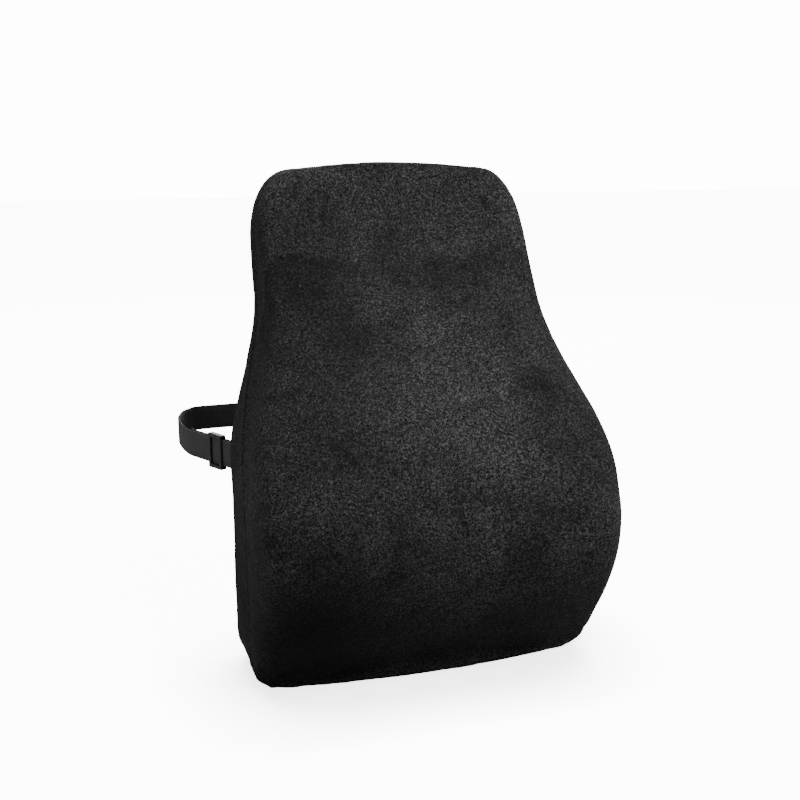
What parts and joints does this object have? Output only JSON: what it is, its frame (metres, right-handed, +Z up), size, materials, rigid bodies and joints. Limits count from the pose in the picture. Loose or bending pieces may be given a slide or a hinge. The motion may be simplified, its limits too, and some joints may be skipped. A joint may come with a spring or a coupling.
{
  "type": "lumbar support cushion",
  "caption": "Contoured lumbar support cushion: foam in a zipped velour cover, with an adjustable webbing strap that loops round a chair back.",
  "frame": {"origin": "middle of the flat underside that the cushion stands on", "axes": "+Z up, -Y out of the contoured front towards the sitter, +Y out of the back towards the chair, +X to the right seen from the front"},
  "size_m": [0.3818, 0.3316, 0.4459],
  "materials": {
    "memory_foam": "open-cell foam, matte",
    "liner_knit": "fine knit, matte",
    "velour": "black short-pile velour",
    "sewing_thread": "spun polyester",
    "zip_tape": "woven polyester",
    "zip_nylon": "coiled nylon",
    "zip_metal": "black enamelled zinc",
    "webbing": "woven elastic webbing",
    "adjuster_plastic": "moulded acetal, satin"
  },
  "bodies": {
    "cushion": {"foam_core": "memory_foam", "inner_liner": "liner_knit", "front_panel": "velour", "side_band": "velour", "back_panel_upper": "velour", "back_panel_lower": "velour", "front_seam_thread": "sewing_thread", "back_seam_thread": "sewing_thread", "zip_tape_upper": "zip_tape", "zip_tape_lower": "zip_tape", "zip_coil_upper": "zip_nylon", "zip_coil_lower": "zip_nylon", "zip_stop_left": "zip_metal", "zip_stop_right": "zip_metal", "strap_band": "webbing", "strap_tab_left": "webbing", "strap_ring": "adjuster_plastic"},
    "zip_slider": {"zip_slider": "zip_metal"},
    "zip_pull": {"zip_pull": "zip_metal"},
    "strap_adjuster": {"tri_glide": "adjuster_plastic"}
  },
  "joints": [
    {"name": "zip_slide", "type": "slide", "parent": "cushion", "child": "zip_slider", "axis": [1, 0, 0], "range_m": [-0.23, 0]},
    {"name": "zip_pull_swing", "type": "hinge", "parent": "zip_slider", "child": "zip_pull", "pos_m": [0.11525, 0.0444, 0.07], "axis": [0, 0, -1], "range_deg": [0, 170]},
    {"name": "adjuster_slide", "type": "slide", "parent": "cushion", "child": "strap_adjuster", "axis": [-0.4848, 0.8746, 0], "range_m": [-0.012, 0.02]}
  ]
}
